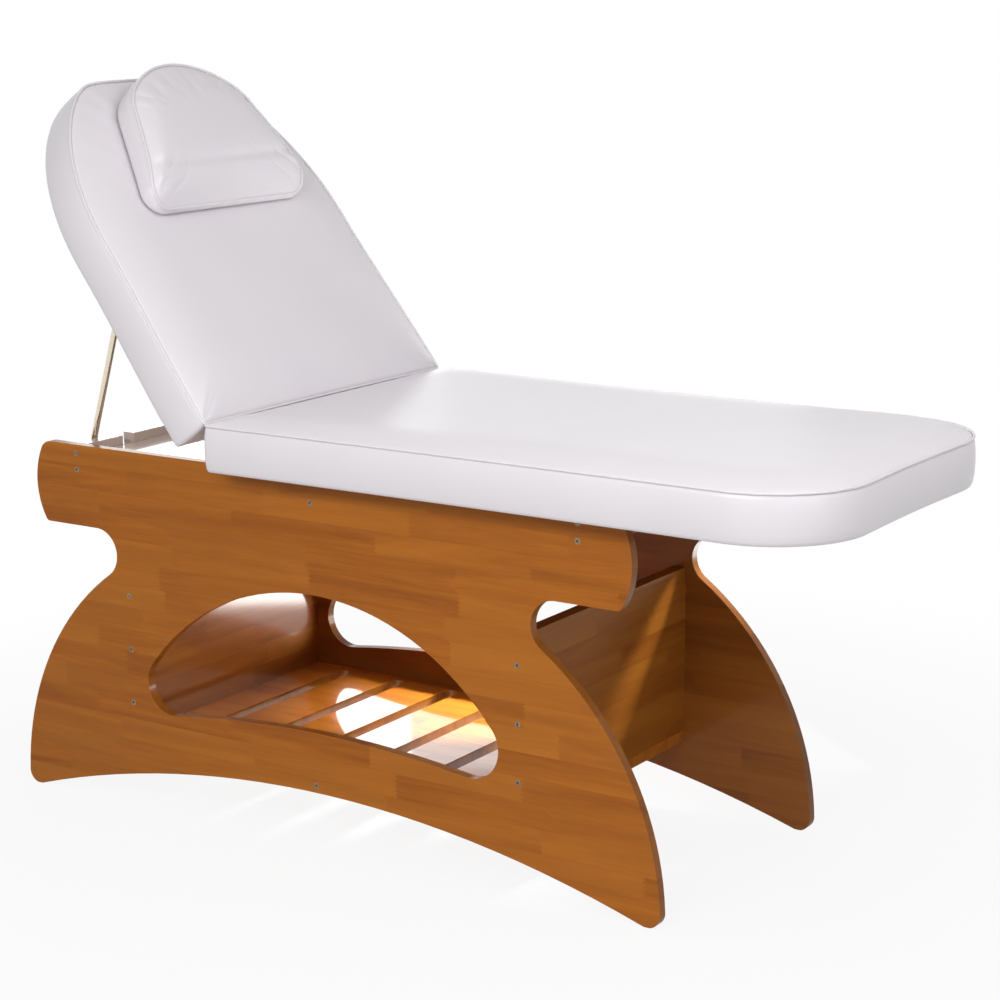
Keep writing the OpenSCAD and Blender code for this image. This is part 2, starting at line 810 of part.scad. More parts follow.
// Mirrors a child from the seat's side of the hinge to the flat backrest's side
module to_back() {
    translate([2 * pivot[0], 0, 0]) mirror([1, 0, 0]) children();
}

// Sets a child at each screw of the backrest leaves, pointing up
module at_back_screws() {
    to_back() translate([0, 0, rest_gap]) at_hinge_screws() children();
}

// Three leaves on the backrest's side, each with its barrel in the middle
module back_leaves() {
    for (y = hinge_y)
        translate([pivot[0], y, leaf_top]) difference() {
            union() {
                leaf_plate(rest_gap);
                barrel(-knuckle_l / 2, knuckle_l / 2, barrel_r);
            }
            barrel(-leaf_w, leaf_w, hinge_pin_r + pin_gap);
            for (end = [0, 1])
                mirror([0, end, 0]) barrel(knuckle_l / 2, leaf_w, barrel_r + over);
        }
}

module hinge_back_leaves() {
    color(steel) raised() difference() {
        to_back() back_leaves();
        at_back_screws() wood_screw_hole(hinge_screw_l);
    }
}

module hinge_back_screws() {
    color(steel) raised() at_back_screws() wood_screw(hinge_screw_l);
}

module backrest_board() {
    color(ply) raised() difference() {
        core(back_outline(cover_t + air), back_z, back_z + ply_t);
        at_back_screws() wood_screw_hole(hinge_screw_l);
        at_rack_screws() wood_screw_hole(rack_screw_l);
    }
}

module backrest_foam() {
    color(foam) raised() core(back_outline(cover_t + air), back_z + ply_t, back_seam - foam_drop);
}

module backrest_cushion() {
    color(vinyl) raised() skin(cover_rings(back_outline(cover_t), back_outline(fold_in), back_outline(tuck),
        back_outline(0), back_outline(seam_in),
        [for (c = crown_steps_share) back_outline(seam_in + crown_w * c[0])], back_z, back_seam),
        level_cap(len(back_outline(0))));
}

module backrest_lining() {
    color(cloth) raised() difference() {
        core(back_outline(fold_in + air), back_z - lining_t, back_z);
        at_back_screws() wood_screw_hole(hinge_screw_l);
        at_rack_screws() wood_screw_hole(rack_screw_l);
    }
}

// Racks: strips with a row of notches in which the prop's cross bar seats
rack_screw_l = 22;
rack_sink = 4;
rack_x = pivot[0] - notch_s;
rack_l = rack_end + (notch_count - 1) * notch_pitch + rack_end;
rack_screw_share = [-0.3, 1.5, 3.5];

// Sets a child at each rack screw, pointing up
module at_rack_screws() {
    both_sides() for (i = rack_screw_share)
        if (i < notch_count - 1)
            translate([rack_x - i * notch_pitch, rack_span / 2, notch_z + rack_sink]) children();
}

// The space that the prop's bar needs in a notch, and on its way out of the first one
module notch(relief) {
    bar_z = notch_depth - notch_r;
    translate([0, rack_w, bar_z]) rotate([90, 0, 0]) cylinder(r = notch_r, h = 2 * rack_w);
    translate([-notch_r, -rack_w, -over]) cube([2 * notch_r, 2 * rack_w, bar_z + over]);
    if (relief)
        translate([0, 0, bar_z]) rotate([0, -relief_tilt, 0]) translate([-relief_l, -rack_w, -relief_l])
            cube([relief_l, 2 * rack_w, relief_l + notch_r]);
}

module prop_racks() {
    color(wood) raised() difference() {
        both_sides() translate([rack_x - rack_l + rack_end, (rack_span - rack_w) / 2, notch_z])
            cube([rack_l, rack_w, rack_h]);
        both_sides() for (i = [0:notch_count - 1])
            translate([rack_x - i * notch_pitch, rack_span / 2, notch_z]) notch(i == 0);
        at_rack_screws() {
            wood_screw_hole(rack_screw_l);
            translate([0, 0, -rack_sink - over]) cylinder(r = wood_head_r + screw_gap, h = rack_sink + over);
        }
    }
}

module rack_screws() {
    color(steel) raised() at_rack_screws() wood_screw(rack_screw_l);
}

// Hook and loop strips between the backrest and the pillow
plateau_z = back_seam + crown_h;
strip_places_share = [0.26, 0.66];
module strips(z) {
    for (share = strip_places_share)
        cross_block(back_x - pillow_s - share * pillow_l - strip_w / 2,
            back_x - pillow_s - share * pillow_l + strip_w / 2, strip_l, z, z + strip_t);
}

module loop_strips() {
    color(cloth) raised() strips(plateau_z);
}

module hook_strips() {
    color(cloth) raised() strips(plateau_z + strip_t + soft_gap);
}

// The pillow: a thin back, a foam core and a cover. Its band is low at the neck and soon rises
pillow_z = plateau_z + 2 * strip_t + soft_gap + lining_t;
pillow_ramp = 45;
pillow_back_in = 5;
pillow_cover_t = 8;
pillow_crown_w = 46;
pillow_steps_share = [[0.08, 0.35], [0.26, 0.68], [0.56, 0.92], [1, 1]];
function pillow_rise(x) =
    pillow_t - (pillow_t - pillow_low_t) * exp((x - back_x + pillow_s) / pillow_ramp);

// A ring of the pillow at a share of its band's height and a height above that
function pillow_ring(inset, share, up) =
    [for (p = pillow_outline(inset)) [p[0], p[1], pillow_z + share * pillow_rise(p[0]) + up]];

module pillow_cushion() {
    color(vinyl) raised() skin(concat(
        [pillow_ring(pillow_cover_t, 1, air - foam_drop), pillow_ring(pillow_cover_t, 0, 0),
            pillow_ring(pillow_back_in, 0, 0), pillow_ring(0, band_low_share, 0),
            pillow_ring(0, band_high_share, 0), pillow_ring(seam_in, 1, 0)],
        [for (c = pillow_steps_share)
            pillow_ring(seam_in + pillow_crown_w * c[0], 1, pillow_crown * c[1])]),
        strip_cap(len(pillow_outline(0))));
}

module pillow_foam() {
    color(foam) raised() skin([pillow_ring(pillow_cover_t + air, 0, 0),
        pillow_ring(pillow_cover_t + air, 1, -foam_drop)], strip_cap(len(pillow_outline(0))));
}

module pillow_back() {
    color(cloth) raised() core(pillow_outline(pillow_back_in), pillow_z - lining_t, pillow_z);
}

// The prop, drawn upright on its axis: bar, two bent corners, two legs and two bent-in pins
module prop_bail() {
    leg_l = prop_l - prop_bend_r - prop_pin_bend_r;
    color(steel) translate(prop_axis) rotate([0, prop_lean, 0]) {
        translate([0, prop_w / 2 - prop_bend_r, prop_l]) rotate([90, 0, 0])
            cylinder(r = prop_r, h = prop_w - 2 * prop_bend_r);
        both_sides() {
            translate([0, prop_w / 2, prop_pin_bend_r]) cylinder(r = prop_r, h = leg_l);
            translate([0, prop_w / 2 - prop_bend_r, prop_l - prop_bend_r]) rotate([90, 0, 90])
                rotate_extrude(angle = 90) translate([prop_bend_r, 0]) circle(prop_r);
            translate([0, prop_w / 2 - prop_pin_bend_r, prop_pin_bend_r]) rotate([0, 90, 0])
                rotate_extrude(angle = 90) translate([prop_pin_bend_r, 0]) circle(prop_r);
            translate([0, prop_w / 2 - prop_pin_bend_r, 0]) rotate([90, 0, 0])
                cylinder(r = prop_r, h = prop_pin_l - prop_pin_bend_r);
        }
    }
}

// Brackets that carry the prop's pins on the head rail
prop_screw_l = 20;
ear_y = prop_w / 2 - prop_pin_l / 2 - ear_t;
prop_screw_y = ear_y - foot_plate_w / 2;
prop_screw_span = 24;
module at_prop_bracket_screws() {
    both_sides() for (i = [-1, 1])
        translate([-rail_x - cross_t / 2 - bracket_t, prop_screw_y,
            rail_top - over - foot_plate_h / 2 + i * prop_screw_span / 2]) rotate([0, 90, 0]) children();
}

module prop_brackets() {
    face = -rail_x - cross_t / 2;
    color(steel) difference() {
        both_sides() {
            translate([face - bracket_t, ear_y + ear_t - foot_plate_w, rail_top - over - foot_plate_h])
                cube([bracket_t, foot_plate_w, foot_plate_h]);
            translate([prop_axis[0], ear_y + ear_t, prop_axis[2]]) rotate([90, 0, 0]) cylinder(r = ear_r, h = ear_t);
            translate([prop_axis[0], ear_y, prop_axis[2] - ear_r]) cube([face - prop_axis[0], ear_t, 2 * ear_r]);
        }
        both_sides() translate([prop_axis[0], prop_w, prop_axis[2]]) rotate([90, 0, 0])
            cylinder(r = prop_r + pin_gap, h = prop_w);
        at_prop_bracket_screws() wood_screw_hole(prop_screw_l);
    }
}

module prop_bracket_screws() {
    color(steel) at_prop_bracket_screws() wood_screw(prop_screw_l);
}

// Moves the whole model so that its origin lies under its middle
module placed() {
    translate([-origin_x, 0, 0]) children();
}

placed() side_panel_right();
placed() side_panel_left();
placed() cross_panel_head();
placed() cross_panel_foot();
placed() slotted_shelf();
placed() shelf_bearer();
placed() shelf_screws();
placed() top_rail_head();
placed() top_rail_middle();
placed() top_rail_foot();
placed() platform_board();
placed() platform_cleats();
placed() platform_screws();
placed() panel_screws();
placed() seat_board();
placed() seat_foam();
placed() seat_cushion();
placed() seat_lining();
placed() seat_brackets();
placed() seat_bracket_screws();
placed() hinge_seat_leaves();
placed() hinge_seat_screws();
placed() hinge_pins();
placed() hinge_back_leaves();
placed() hinge_back_screws();
placed() backrest_board();
placed() backrest_foam();
placed() backrest_cushion();
placed() backrest_lining();
placed() prop_racks();
placed() rack_screws();
placed() loop_strips();
placed() pillow_cushion();
placed() pillow_foam();
placed() pillow_back();
placed() hook_strips();
placed() prop_bail();
placed() prop_brackets();
placed() prop_bracket_screws();
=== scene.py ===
"""A spa bed: a white padded seat and raised backrest with a pillow, on an open base of stained,
finger-jointed rubberwood with curved side panels and a slotted shelf. Lengths are in metres."""

import json
import math

import bmesh
import bpy
from mathutils import Matrix, Vector

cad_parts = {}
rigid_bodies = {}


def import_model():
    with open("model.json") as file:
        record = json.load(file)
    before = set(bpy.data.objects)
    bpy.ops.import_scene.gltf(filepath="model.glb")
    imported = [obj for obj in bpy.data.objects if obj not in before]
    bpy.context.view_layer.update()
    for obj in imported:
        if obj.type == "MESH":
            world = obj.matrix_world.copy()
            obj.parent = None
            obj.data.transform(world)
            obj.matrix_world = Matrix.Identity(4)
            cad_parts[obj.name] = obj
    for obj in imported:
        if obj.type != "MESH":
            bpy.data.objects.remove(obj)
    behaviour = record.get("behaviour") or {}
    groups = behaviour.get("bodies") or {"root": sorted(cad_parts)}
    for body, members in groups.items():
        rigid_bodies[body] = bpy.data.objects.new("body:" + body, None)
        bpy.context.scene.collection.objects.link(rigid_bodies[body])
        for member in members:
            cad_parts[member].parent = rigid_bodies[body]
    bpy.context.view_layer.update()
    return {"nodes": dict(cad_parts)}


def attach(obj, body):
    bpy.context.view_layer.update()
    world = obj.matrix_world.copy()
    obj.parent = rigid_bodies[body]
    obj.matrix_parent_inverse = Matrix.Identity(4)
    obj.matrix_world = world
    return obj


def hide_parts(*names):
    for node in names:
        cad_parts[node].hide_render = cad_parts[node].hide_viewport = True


for thing in list(bpy.data.objects):
    bpy.data.objects.remove(thing)
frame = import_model()
nodes = frame["nodes"]

# Camera
# The photograph was taken from a standing person's chest height, off the foot end's right
# corner, with a moderately long lens.
CAMERA_PLACE = Vector((2.34033, -3.4494, 1.5069))
CAMERA_TURN = (33.548, 12.388, -0.39)
camera = bpy.data.objects.new("camera", bpy.data.cameras.new("camera"))
bpy.context.scene.collection.objects.link(camera)
camera.data.sensor_width = 36.0
camera.data.lens = 87.3
turn, dip, roll = (math.radians(angle) for angle in CAMERA_TURN)
camera.matrix_world = (
    Matrix.Translation(CAMERA_PLACE)
    @ Matrix.Rotation(turn, 4, "Z")
    @ Matrix.Rotation(math.pi / 2 - dip, 4, "X")
    @ Matrix.Rotation(roll, 4, "Z")
)
bpy.context.scene.camera = camera
bpy.context.scene.view_settings.view_transform = "Standard"


# Room
# A white studio: an even white surround, a matt white floor that keeps the bed's shadow,
# and soft boxes above, in front and behind, of which two shine in through the openings.
def linear(code):
    """The linear colour of an sRGB hex code."""
    parts = [int(code[i : i + 2], 16) / 255 for i in (1, 3, 5)]
    return [c / 12.92 if c <= 0.04045 else ((c + 0.055) / 1.055) ** 2.4 for c in parts] + [1.0]


def add(tree, kind, settings, wires):
    """Adds a node with its settings, and with its inputs wired to a socket or set to a value."""
    node = tree.nodes.new("ShaderNode" + kind)
    for name, value in settings.items():
        setattr(node, name, value)
    for name, value in wires.items():
        if isinstance(value, bpy.types.NodeSocket):
            tree.links.new(value, node.inputs[name])
        else:
            node.inputs[name].default_value = value
    return node


def seen_directly(tree):
    """1 for rays that show the surround itself: from the camera, or off or through a surface."""
    path = add(tree, "LightPath", {}, {}).outputs
    either = add(
        tree, "Math", {"operation": "MAXIMUM"}, {0: path["Is Camera Ray"], 1: path["Is Glossy Ray"]}
    )
    rays = {0: either.outputs[0], 1: path["Is Transmission Ray"]}
    return add(tree, "Math", {"operation": "MAXIMUM"}, rays).outputs[0]


AMBIENT = 0.34
world = bpy.data.worlds.new("studio")
bpy.context.scene.world = world
world.use_nodes = True
tree = world.node_tree
tree.nodes.clear()
level = add(tree, "MapRange", {}, {0: seen_directly(tree), 3: AMBIENT, 4: 1.0})
surround = add(tree, "Background", {}, {"Color": (1, 1, 1, 1), "Strength": level.outputs[0]})
add(tree, "OutputWorld", {}, {0: surround.outputs[0]})

FLOOR_SIZE, FLOOR_DROP = 14.0, 2e-4
FLOOR_SHADOW = 0.10
SHADOW_NEAR, SHADOW_FAR = 0.7, 2.0
half = FLOOR_SIZE / 2
corners = [(-half, -half), (half, -half), (half, half), (-half, half)]
floor_mesh = bpy.data.meshes.new("floor")
floor_mesh.from_pydata([(x, y, -FLOOR_DROP) for x, y in corners], [], [(0, 1, 2, 3)])
floor = bpy.data.objects.new("floor", floor_mesh)
bpy.context.scene.collection.objects.link(floor)
paint = bpy.data.materials.new("matt_white_floor")
paint.use_nodes = True
tree = paint.node_tree
tree.nodes.clear()
matt = add(tree, "BsdfDiffuse", {}, {"Color": linear("#d4d4d4")})
glow = add(tree, "Emission", {}, {"Color": (1, 1, 1, 1), "Strength": 1.0})
spot = add(
    tree, "VectorMath", {"operation": "LENGTH"},
    {0: add(tree, "TexCoord", {}, {}).outputs["Object"]},
)
# The shadow shows near the bed and fades out round it
white = add(
    tree, "MapRange", {"interpolation_type": "SMOOTHSTEP"},
    {0: spot.outputs["Value"], 1: SHADOW_NEAR, 2: SHADOW_FAR, 3: 1 - FLOOR_SHADOW, 4: 1.0},
)
share = add(
    tree, "Math", {"operation": "MULTIPLY"}, {0: seen_directly(tree), 1: white.outputs[0]}
)
both = add(
    tree, "MixShader", {}, {0: share.outputs[0], 1: matt.outputs[0], 2: glow.outputs[0]}
)
add(tree, "OutputMaterial", {}, {0: both.outputs[0]})
floor_mesh.materials.append(paint)

# Name, place, aim, width, height, power in watts, and the angle that a grid keeps its light in.
# The one with the narrow grid isn't mirrored in the lacquer and the vinyl.
OPEN, WIDE_GRID, NARROW_GRID = 180, 110, 18
SOFT_BOXES = [
    ("top", (1.6, -0.5, 2.5), (0.7, 0.0, 0.7), 1.8, 1.6, 20.0, OPEN),
    ("foot_side", (3.2, -1.6, 1.3), (-0.3, 0.0, 0.9), 2.4, 2.0, 17.5, OPEN),
    ("near_side", (0.35, -2.6, 1.9), (0.2, 0.0, 0.6), 2.0, 0.6, 38.0, OPEN),
    ("behind_head", (-2.7, 2.6, 1.35), (-0.7, 0.0, 0.66), 1.1, 0.8, 10.0, OPEN),
    ("behind_low", (-1.3, 2.6, 0.93), (-0.1, 0.0, 0.2), 1.2, 0.5, 2.3, OPEN),
    ("behind_floor", (0.25, 0.9, 0.2), (-0.57, -0.1, 0.4), 0.7, 0.38, 4.5, WIDE_GRID),
    ("behind_foot", (0.35, 1.15, 1.15), (0.0, 0.16, 0.15), 0.6, 0.2, 3.4, NARROW_GRID),
]
for name, place, aim, width, height, power, spread in SOFT_BOXES:
    lamp = bpy.data.lights.new(name, "AREA")
    lamp.spread = math.radians(spread)
    lamp.shape, lamp.size, lamp.size_y, lamp.energy = "RECTANGLE", width, height, power
    box = bpy.data.objects.new(name, lamp)
    box.location = place
    box.rotation_euler = (Vector(aim) - Vector(place)).to_track_quat("-Z", "Y").to_euler()
    box.visible_camera = False
    box.visible_glossy = spread > NARROW_GRID
    bpy.context.scene.collection.objects.link(box)


# Side panels
# Two panels 18 mm thick, glued up from finger-jointed rubberwood staves that run along the
# bed, stained orange-brown and lacquered; the left one is painted a little darker, as painted
# shade of the seat above it. Their edges are rounded by 3 mm before lacquering, but not the
# rims of the screws' holes.
EDGE_ROUNDING, SCREW_CLEAR = 0.003, 0.009
SHIFT = -0.15117  # from the bed's middle to the base's
PANEL_SCREWS = [
    (end * x + SHIFT, z)
    for end in (-1, 1)
    for x, z in ((0.534, 0.621), (0.534, 0.651), (0.419, 0.199), (0.419, 0.299), (0.419, 0.399))
] + [(SHIFT, 0.621), (SHIFT, 0.116)]


def material(name):
    """A new material's tree, with a Principled shader wired to its output."""
    made = bpy.data.materials.new(name)
    made.use_nodes = True
    tree = made.node_tree
    tree.nodes.clear()
    shader = add(tree, "BsdfPrincipled", {}, {})
    add(tree, "OutputMaterial", {}, {0: shader.outputs[0]})
    return made, tree, shader


def dress(thing, made):
    """Gives a piece its material, in its object's own slots."""
    if not thing.material_slots:
        thing.data.materials.append(made)
    for slot in thing.material_slots:
        slot.material = made


def show(name, mesh, body, made, replaced=()):
    """Adds a new piece that rides on a body, has the given material and stands for nodes."""
    piece = bpy.data.objects.new(name, mesh)
    bpy.context.scene.collection.objects.link(piece)
    dress(piece, made)
    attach(piece, body)
    if replaced:
        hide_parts(*replaced)
    return piece


WELD = 1e-5  # points closer than this are one
FLAT, CORNER, CRISP = 0.4, 50, 35  # degrees: coplanar faces, edges to round, edges left sharp
ROUNDING_STEPS = 3


def rounded_board(node, body, made, radius, keep=()):
    """A board in the node's shape with its edges rounded, but not round the screws to keep."""
    mesh = nodes[node].data.copy()
    form = bmesh.new()
    form.from_mesh(mesh)
    bmesh.ops.remove_doubles(form, verts=form.verts, dist=WELD)
    bmesh.ops.dissolve_limit(
        form, angle_limit=math.radians(FLAT), verts=form.verts, edges=form.edges
    )
    edges = []
    for edge in form.edges:
        if len(edge.link_faces) != 2 or edge.calc_face_angle() < math.radians(CORNER):
            continue
        near = any(
            (vert.co - Vector((x, vert.co.y, z))).length < SCREW_CLEAR
            for vert in edge.verts
            for x, z in keep
        )
        if not near:
            edges.append(edge)
    bmesh.ops.bevel(
        form, geom=edges, offset=radius, segments=ROUNDING_STEPS, profile=0.5,
        affect="EDGES", clamp_overlap=True,
    )
    form.to_mesh(mesh)
    form.free()
    mesh.materials.clear()
    board = show(node + "_rounded", mesh, body, made, (node,))
    board.data.polygons.foreach_set("use_smooth", [True] * len(board.data.polygons))
    board.data.set_sharp_from_angle(angle=math.radians(CRISP))
    board.modifiers.new("weigh", "WEIGHTED_NORMAL").keep_sharp = True


# Rubberwood staves: 42 mm wide, about 0.3 m long, joined by 6 mm fingers 8 mm apart
STAVE_W, STAVE_L, STAVE_SHIFT = 0.042, 0.31, 7.0
FINGER_L, FINGER_HALF = 0.006, 0.004
# Noise cells a metre, along the grain and across it: figure 33 mm wide, fibres 2.4 mm wide,
# which is coarser than real pores, so that they show
FIGURE, FIBRES = (2.2, 30.0, 30.0), (14.0, 420.0, 420.0)
FIBRE_SHARE = 0.35
GLUE_LINE, GLUE_TONE = 0.0008, 0.86
PALER_STAVES = 0.55
EDGE_TONE = 0.70
LACQUERED_SPECULAR = 0.06  # the lacquer, which is the coat, makes nearly all of the gloss


def rubberwood(name, turned, dark, light, pale, gloss, offset=0.0):
    """Stained rubberwood under gloss lacquer: straight grain with short pores, each stave in
    its own tone. turned gives the rotation that brings the grain along X, the staves' widths
    along Y and the board's face along Z. gloss is the lacquer's weight, roughness and IOR."""
    made, tree, shader = material(name)
    place = add(tree, "TexCoord", {}, {}).outputs
    along = add(
        tree, "Mapping", {"vector_type": "POINT"},
        {0: place["Object"], "Location": (offset, offset, offset), "Rotation": turned},
    )
    axes = add(tree, "SeparateXYZ", {}, {0: along.outputs[0]})
    row = add(tree, "Math", {"operation": "DIVIDE"}, {0: axes.outputs[1], 1: STAVE_W})
    row_number = add(tree, "Math", {"operation": "FLOOR"}, {0: row.outputs[0]})
    row_draw = add(
        tree, "TexWhiteNoise", {"noise_dimensions": "1D"}, {"W": row_number.outputs[0]}
    )
    fingers = add(
        tree, "Math", {"operation": "PINGPONG"}, {0: axes.outputs[1], 1: FINGER_HALF}
    )
    reach = add(
        tree, "Math", {"operation": "MULTIPLY_ADD"},
        {0: fingers.outputs[0], 1: FINGER_L / FINGER_HALF, 2: axes.outputs[0]},
    )
    shifted = add(
        tree, "Math", {"operation": "MULTIPLY_ADD"},
        {0: row_draw.outputs["Value"], 1: STAVE_SHIFT, 2: reach.outputs[0]},
    )
    column = add(tree, "Math", {"operation": "DIVIDE"}, {0: shifted.outputs[0], 1: STAVE_L})
    column_number = add(tree, "Math", {"operation": "FLOOR"}, {0: column.outputs[0]})
    stave = add(
        tree, "CombineXYZ", {}, {0: column_number.outputs[0], 1: row_number.outputs[0]}
    )
    draw = add(
        tree, "TexWhiteNoise", {"noise_dimensions": "2D"}, {"Vector": stave.outputs[0]}
    )
    # Each stave's grain starts somewhere else
    moved = add(
        tree, "VectorMath", {"operation": "MULTIPLY_ADD"},
        {0: draw.outputs["Color"], 1: (3.0, 3.0, 3.0), 2: along.outputs[0]},
    )
    bands = add(tree, "Mapping", {}, {0: moved.outputs[0], "Scale": FIGURE})
    figure = add(
        tree, "TexNoise", {},
        {
            "Vector": bands.outputs[0], "Scale": 1.0, "Detail": 3.0,
            "Roughness": 0.6, "Distortion": 0.6,
        },
    )
    fibres = add(tree, "Mapping", {}, {0: moved.outputs[0], "Scale": FIBRES})
    fine = add(
        tree, "TexNoise", {},
        {"Vector": fibres.outputs[0], "Scale": 1.0, "Detail": 2.0, "Roughness": 0.55},
    )
    tone = add(
        tree, "Math", {"operation": "MULTIPLY_ADD"},
        {0: fine.outputs["Fac"], 1: FIBRE_SHARE, 2: -FIBRE_SHARE / 2},
    )
    grain = add(
        tree, "Math", {"operation": "ADD", "use_clamp": True},
        {0: figure.outputs["Fac"], 1: tone.outputs[0]},
    )
    stained = add(tree, "ValToRGB", {}, {0: grain.outputs[0]})
    low, high = stained.color_ramp.elements
    low.position, low.color = 0.30, linear(dark)
    high.position, high.color = 0.72, linear(light)
    # Some staves take the stain paler
    own = add(tree, "MapRange", {}, {0: draw.outputs["Value"], 3: 0.0, 4: PALER_STAVES})
    mixed = add(
        tree, "Mix", {"data_type": "RGBA"},
        {0: own.outputs[0], 6: stained.outputs[0], 7: linear(pale)},
    )
    # Glue lines between the rows
    edge = add(tree, "Math", {"operation": "PINGPONG"}, {0: axes.outputs[1], 1: STAVE_W / 2})
    line = add(
        tree, "MapRange", {}, {0: edge.outputs[0], 1: 0.0, 2: GLUE_LINE, 3: GLUE_TONE, 4: 1.0}
    )
    shade = add(
        tree, "Mix", {"data_type": "RGBA", "blend_type": "MULTIPLY"},
        {0: 1.0, 6: mixed.outputs[2], 7: line.outputs[0]},
    )
    # Faces turned away from the board's face, which are its rounded edges, are darkened
    facing = add(
        tree, "Mapping", {"vector_type": "NORMAL"}, {0: place["Normal"], "Rotation": turned}
    )
    across = add(tree, "SeparateXYZ", {}, {0: facing.outputs[0]})
    face = add(tree, "Math", {"operation": "ABSOLUTE"}, {0: across.outputs[2]})
    edge_darkening = add(
        tree, "MapRange", {}, {0: face.outputs[0], 1: 0.35, 2: 0.75, 3: EDGE_TONE, 4: 1.0}
    )
    whole = add(
        tree, "Mix", {"data_type": "RGBA", "blend_type": "MULTIPLY"},
        {0: 1.0, 6: shade.outputs[2], 7: edge_darkening.outputs[0]},
    )
    tree.links.new(whole.outputs[2], shader.inputs["Base Color"])
    relief = add(
        tree, "Bump", {}, {"Strength": 0.06, "Distance": 0.0004, "Height": fine.outputs["Fac"]}
    )
    tree.links.new(relief.outputs[0], shader.inputs["Normal"])
    rough = add(tree, "MapRange", {}, {0: fine.outputs["Fac"], 3: 0.28, 4: 0.40})
    tree.links.new(rough.outputs[0], shader.inputs["Roughness"])
    shader.inputs["Specular IOR Level"].default_value = LACQUERED_SPECULAR
    shader.inputs["Coat Weight"].default_value = gloss[0]
    shader.inputs["Coat Roughness"].default_value = gloss[1]
    shader.inputs["Coat IOR"].default_value = gloss[2]
    return made


ALONG_BED = (-math.pi / 2, 0.0, 0.0)
for side, tones, offset in (
    ("side_panel_right", ("#8e4b15", "#b2681e", "#bc7528"), 0.0),
    # The left panel's darker tones are painted shade, for the shade it stands in under the seat
    ("side_panel_left", ("#74401a", "#92571f", "#9b6128"), 1.0),
):
    panel_wood = rubberwood(
        "stained_rubberwood_" + side, ALONG_BED, *tones, (0.2, 0.12, 1.45), offset
    )
    rounded_board(side, "base", panel_wood, EDGE_ROUNDING, PANEL_SCREWS)

# Cross panels
# Two panels stand on the shelf and tie the sides together. Same wood, staves across the bed,
# the head one under a glossier lacquer, and edges eased by 2 mm.
ACROSS_BED = (-math.pi / 2, -math.pi / 2, 0.0)
CROSS_TONES = ("#7e4314", "#9a5c1f", "#a36726")
for node, gloss, offset in (
    ("cross_panel_head", (0.6, 0.10, 1.8), 2.0),
    ("cross_panel_foot", (0.15, 0.30, 1.5), 2.5),
):
    cross_wood = rubberwood("stained_rubberwood_" + node, ACROSS_BED, *CROSS_TONES, gloss, offset)
    rounded_board(node, "base", cross_wood, 0.002)

# Shelf and its bearer
# One panel 20 mm thick with six routed slots, its edges eased by 2 mm, on a batten. Its
# lacquer is the smoothest of all, and mirrors the room behind.
LYING = (0.0, 0.0, 0.0)
SHELF_TONES = ("#a9591a", "#cf7c26", "#d98a32")
shelf_wood = rubberwood("stained_rubberwood_shelf", LYING, *SHELF_TONES, (1.0, 0.05, 1.6), 4.0)
for node in ("slotted_shelf", "shelf_bearer"):
    rounded_board(node, "base", shelf_wood, 0.002)

# Top cross rails, cleats and platform
# Three rails between the sides carry the cushions: two stained dark, and the head one under
# clear lacquer and painted pale, as painted light from the lamp behind the backrest, as are
# the cleats and the thin board that lies on them.
RAIL_TONES, PAINTED_LIGHT_TONES = ("#5f2c12", "#7d4118", "#85481c"), ("#e0c8ba", "#ecdacf", "#f2e3da")
rail_wood = rubberwood("stained_rubberwood_rail", ACROSS_BED, *RAIL_TONES, (0.3, 0.12, 1.5), 6.0)
for node in ("top_rail_middle", "top_rail_foot"):
    rounded_board(node, "base", rail_wood, 0.0015)
# Painted light: the head rail, the cleats and the board get pale tones for the light falling on
# them from behind
painted_light_rail = rubberwood("head_rail_painted_light", ACROSS_BED, *PAINTED_LIGHT_TONES, (0.5, 0.12, 1.5), 7.0)
for node in ("top_rail_head", "platform_cleats"):
    rounded_board(node, "base", painted_light_rail, 0.0015)
platform_wood = rubberwood("platform_board_painted_light", LYING, *PAINTED_LIGHT_TONES, (0.8, 0.08, 1.5), 8.0)
rounded_board("platform_board", "base", platform_wood, 0.001)


# Screws, brackets and hinges
# Zinc plated steel: screws with hex sockets in the sides and wood screws elsewhere, dull and
# painted dark brown as painted shade of the holes they sit in, and bright folded steel for
# brackets and hinge leaves. Edges are broken by 0.4 mm.
def plated_steel(name, colour, bright, roughness, streak):
    """Zinc plate: a clean metal with faint drawn streaks, no two patches equally bright."""
    made, tree, shader = material(name)
    place = add(tree, "TexCoord", {}, {}).outputs["Object"]
    drawn = add(tree, "Mapping", {}, {0: place, "Scale": streak})
    lines = add(tree, "TexNoise", {}, {"Vector": drawn.outputs[0], "Scale": 1.0, "Detail": 3.0})
    spread = add(
        tree, "MapRange", {},
        {0: lines.outputs["Fac"], 3: roughness * 0.75, 4: roughness * 1.3},
    )
    tree.links.new(spread.outputs[0], shader.inputs["Roughness"])
    patch = add(tree, "TexNoise", {}, {"Vector": place, "Scale": 160.0, "Detail": 2.0})
    hue = add(
        tree, "Mix", {"data_type": "RGBA"},
        {0: patch.outputs["Fac"], 6: linear(colour), 7: linear(bright)},
    )
    tree.links.new(hue.outputs[2], shader.inputs["Base Color"])
    shader.inputs["Metallic"].default_value = 1.0
    return made


def broken_edges(node, width):
    """Breaks a node's sharp edges by a small bevel."""
    bevel = nodes[node].modifiers.new("eased", "BEVEL")
    bevel.width, bevel.segments = width, 2
    bevel.limit_method, bevel.angle_limit = "ANGLE", math.radians(CORNER)


